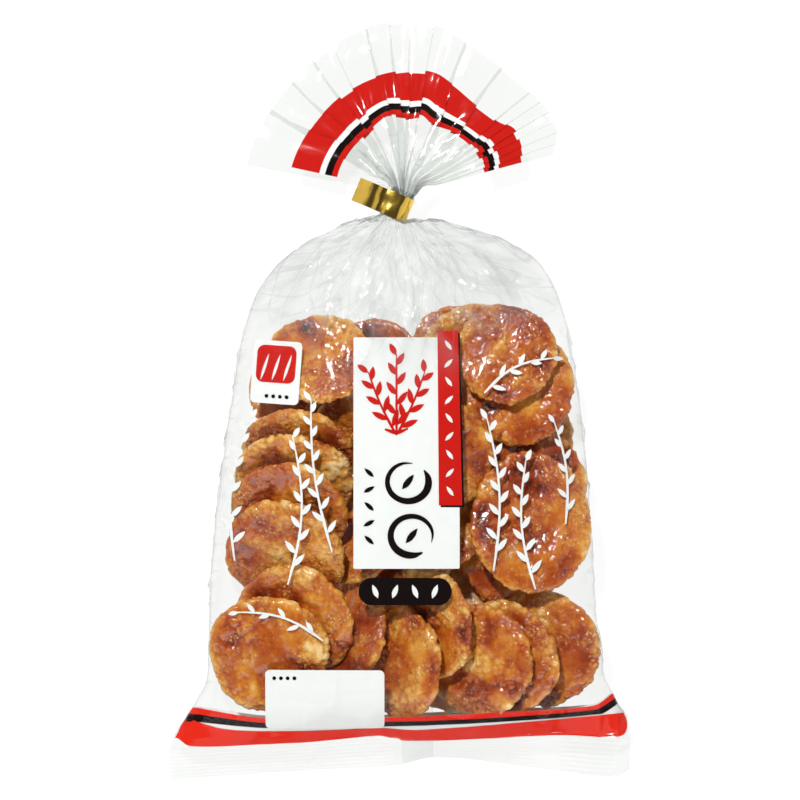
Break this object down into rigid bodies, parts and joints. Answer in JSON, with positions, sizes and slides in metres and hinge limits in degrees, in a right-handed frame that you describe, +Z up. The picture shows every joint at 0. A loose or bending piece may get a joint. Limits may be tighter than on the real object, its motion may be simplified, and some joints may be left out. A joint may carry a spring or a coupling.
{
  "type": "bag of rice crackers",
  "caption": "Clear film bag of round soy-glazed rice crackers, gathered at its neck by a gold band below a pleated fan of film, lying on its back.",
  "frame": {"origin": "under the middle of the bag's box, on the surface that the bag lies on", "axes": "+X to the bag's right as its printed front is read, +Y from the bottom seal to the fan above the band, +Z up out of the printed front"},
  "size_m": [0.2, 0.328, 0.048],
  "materials": {
    "film": "clear polypropylene film, glossy and finely creased",
    "gold_foil": "gold metallised foil strip, mirror bright",
    "cracker": "toasted rice cracker with a soy glaze, blistered and shiny",
    "print_red": "red ink printed on the film",
    "print_white": "white ink printed on the film",
    "print_black": "black ink printed on the film"
  },
  "bodies": {
    "root": {"bag": "film", "band": "gold_foil"}
  },
  "joints": []
}
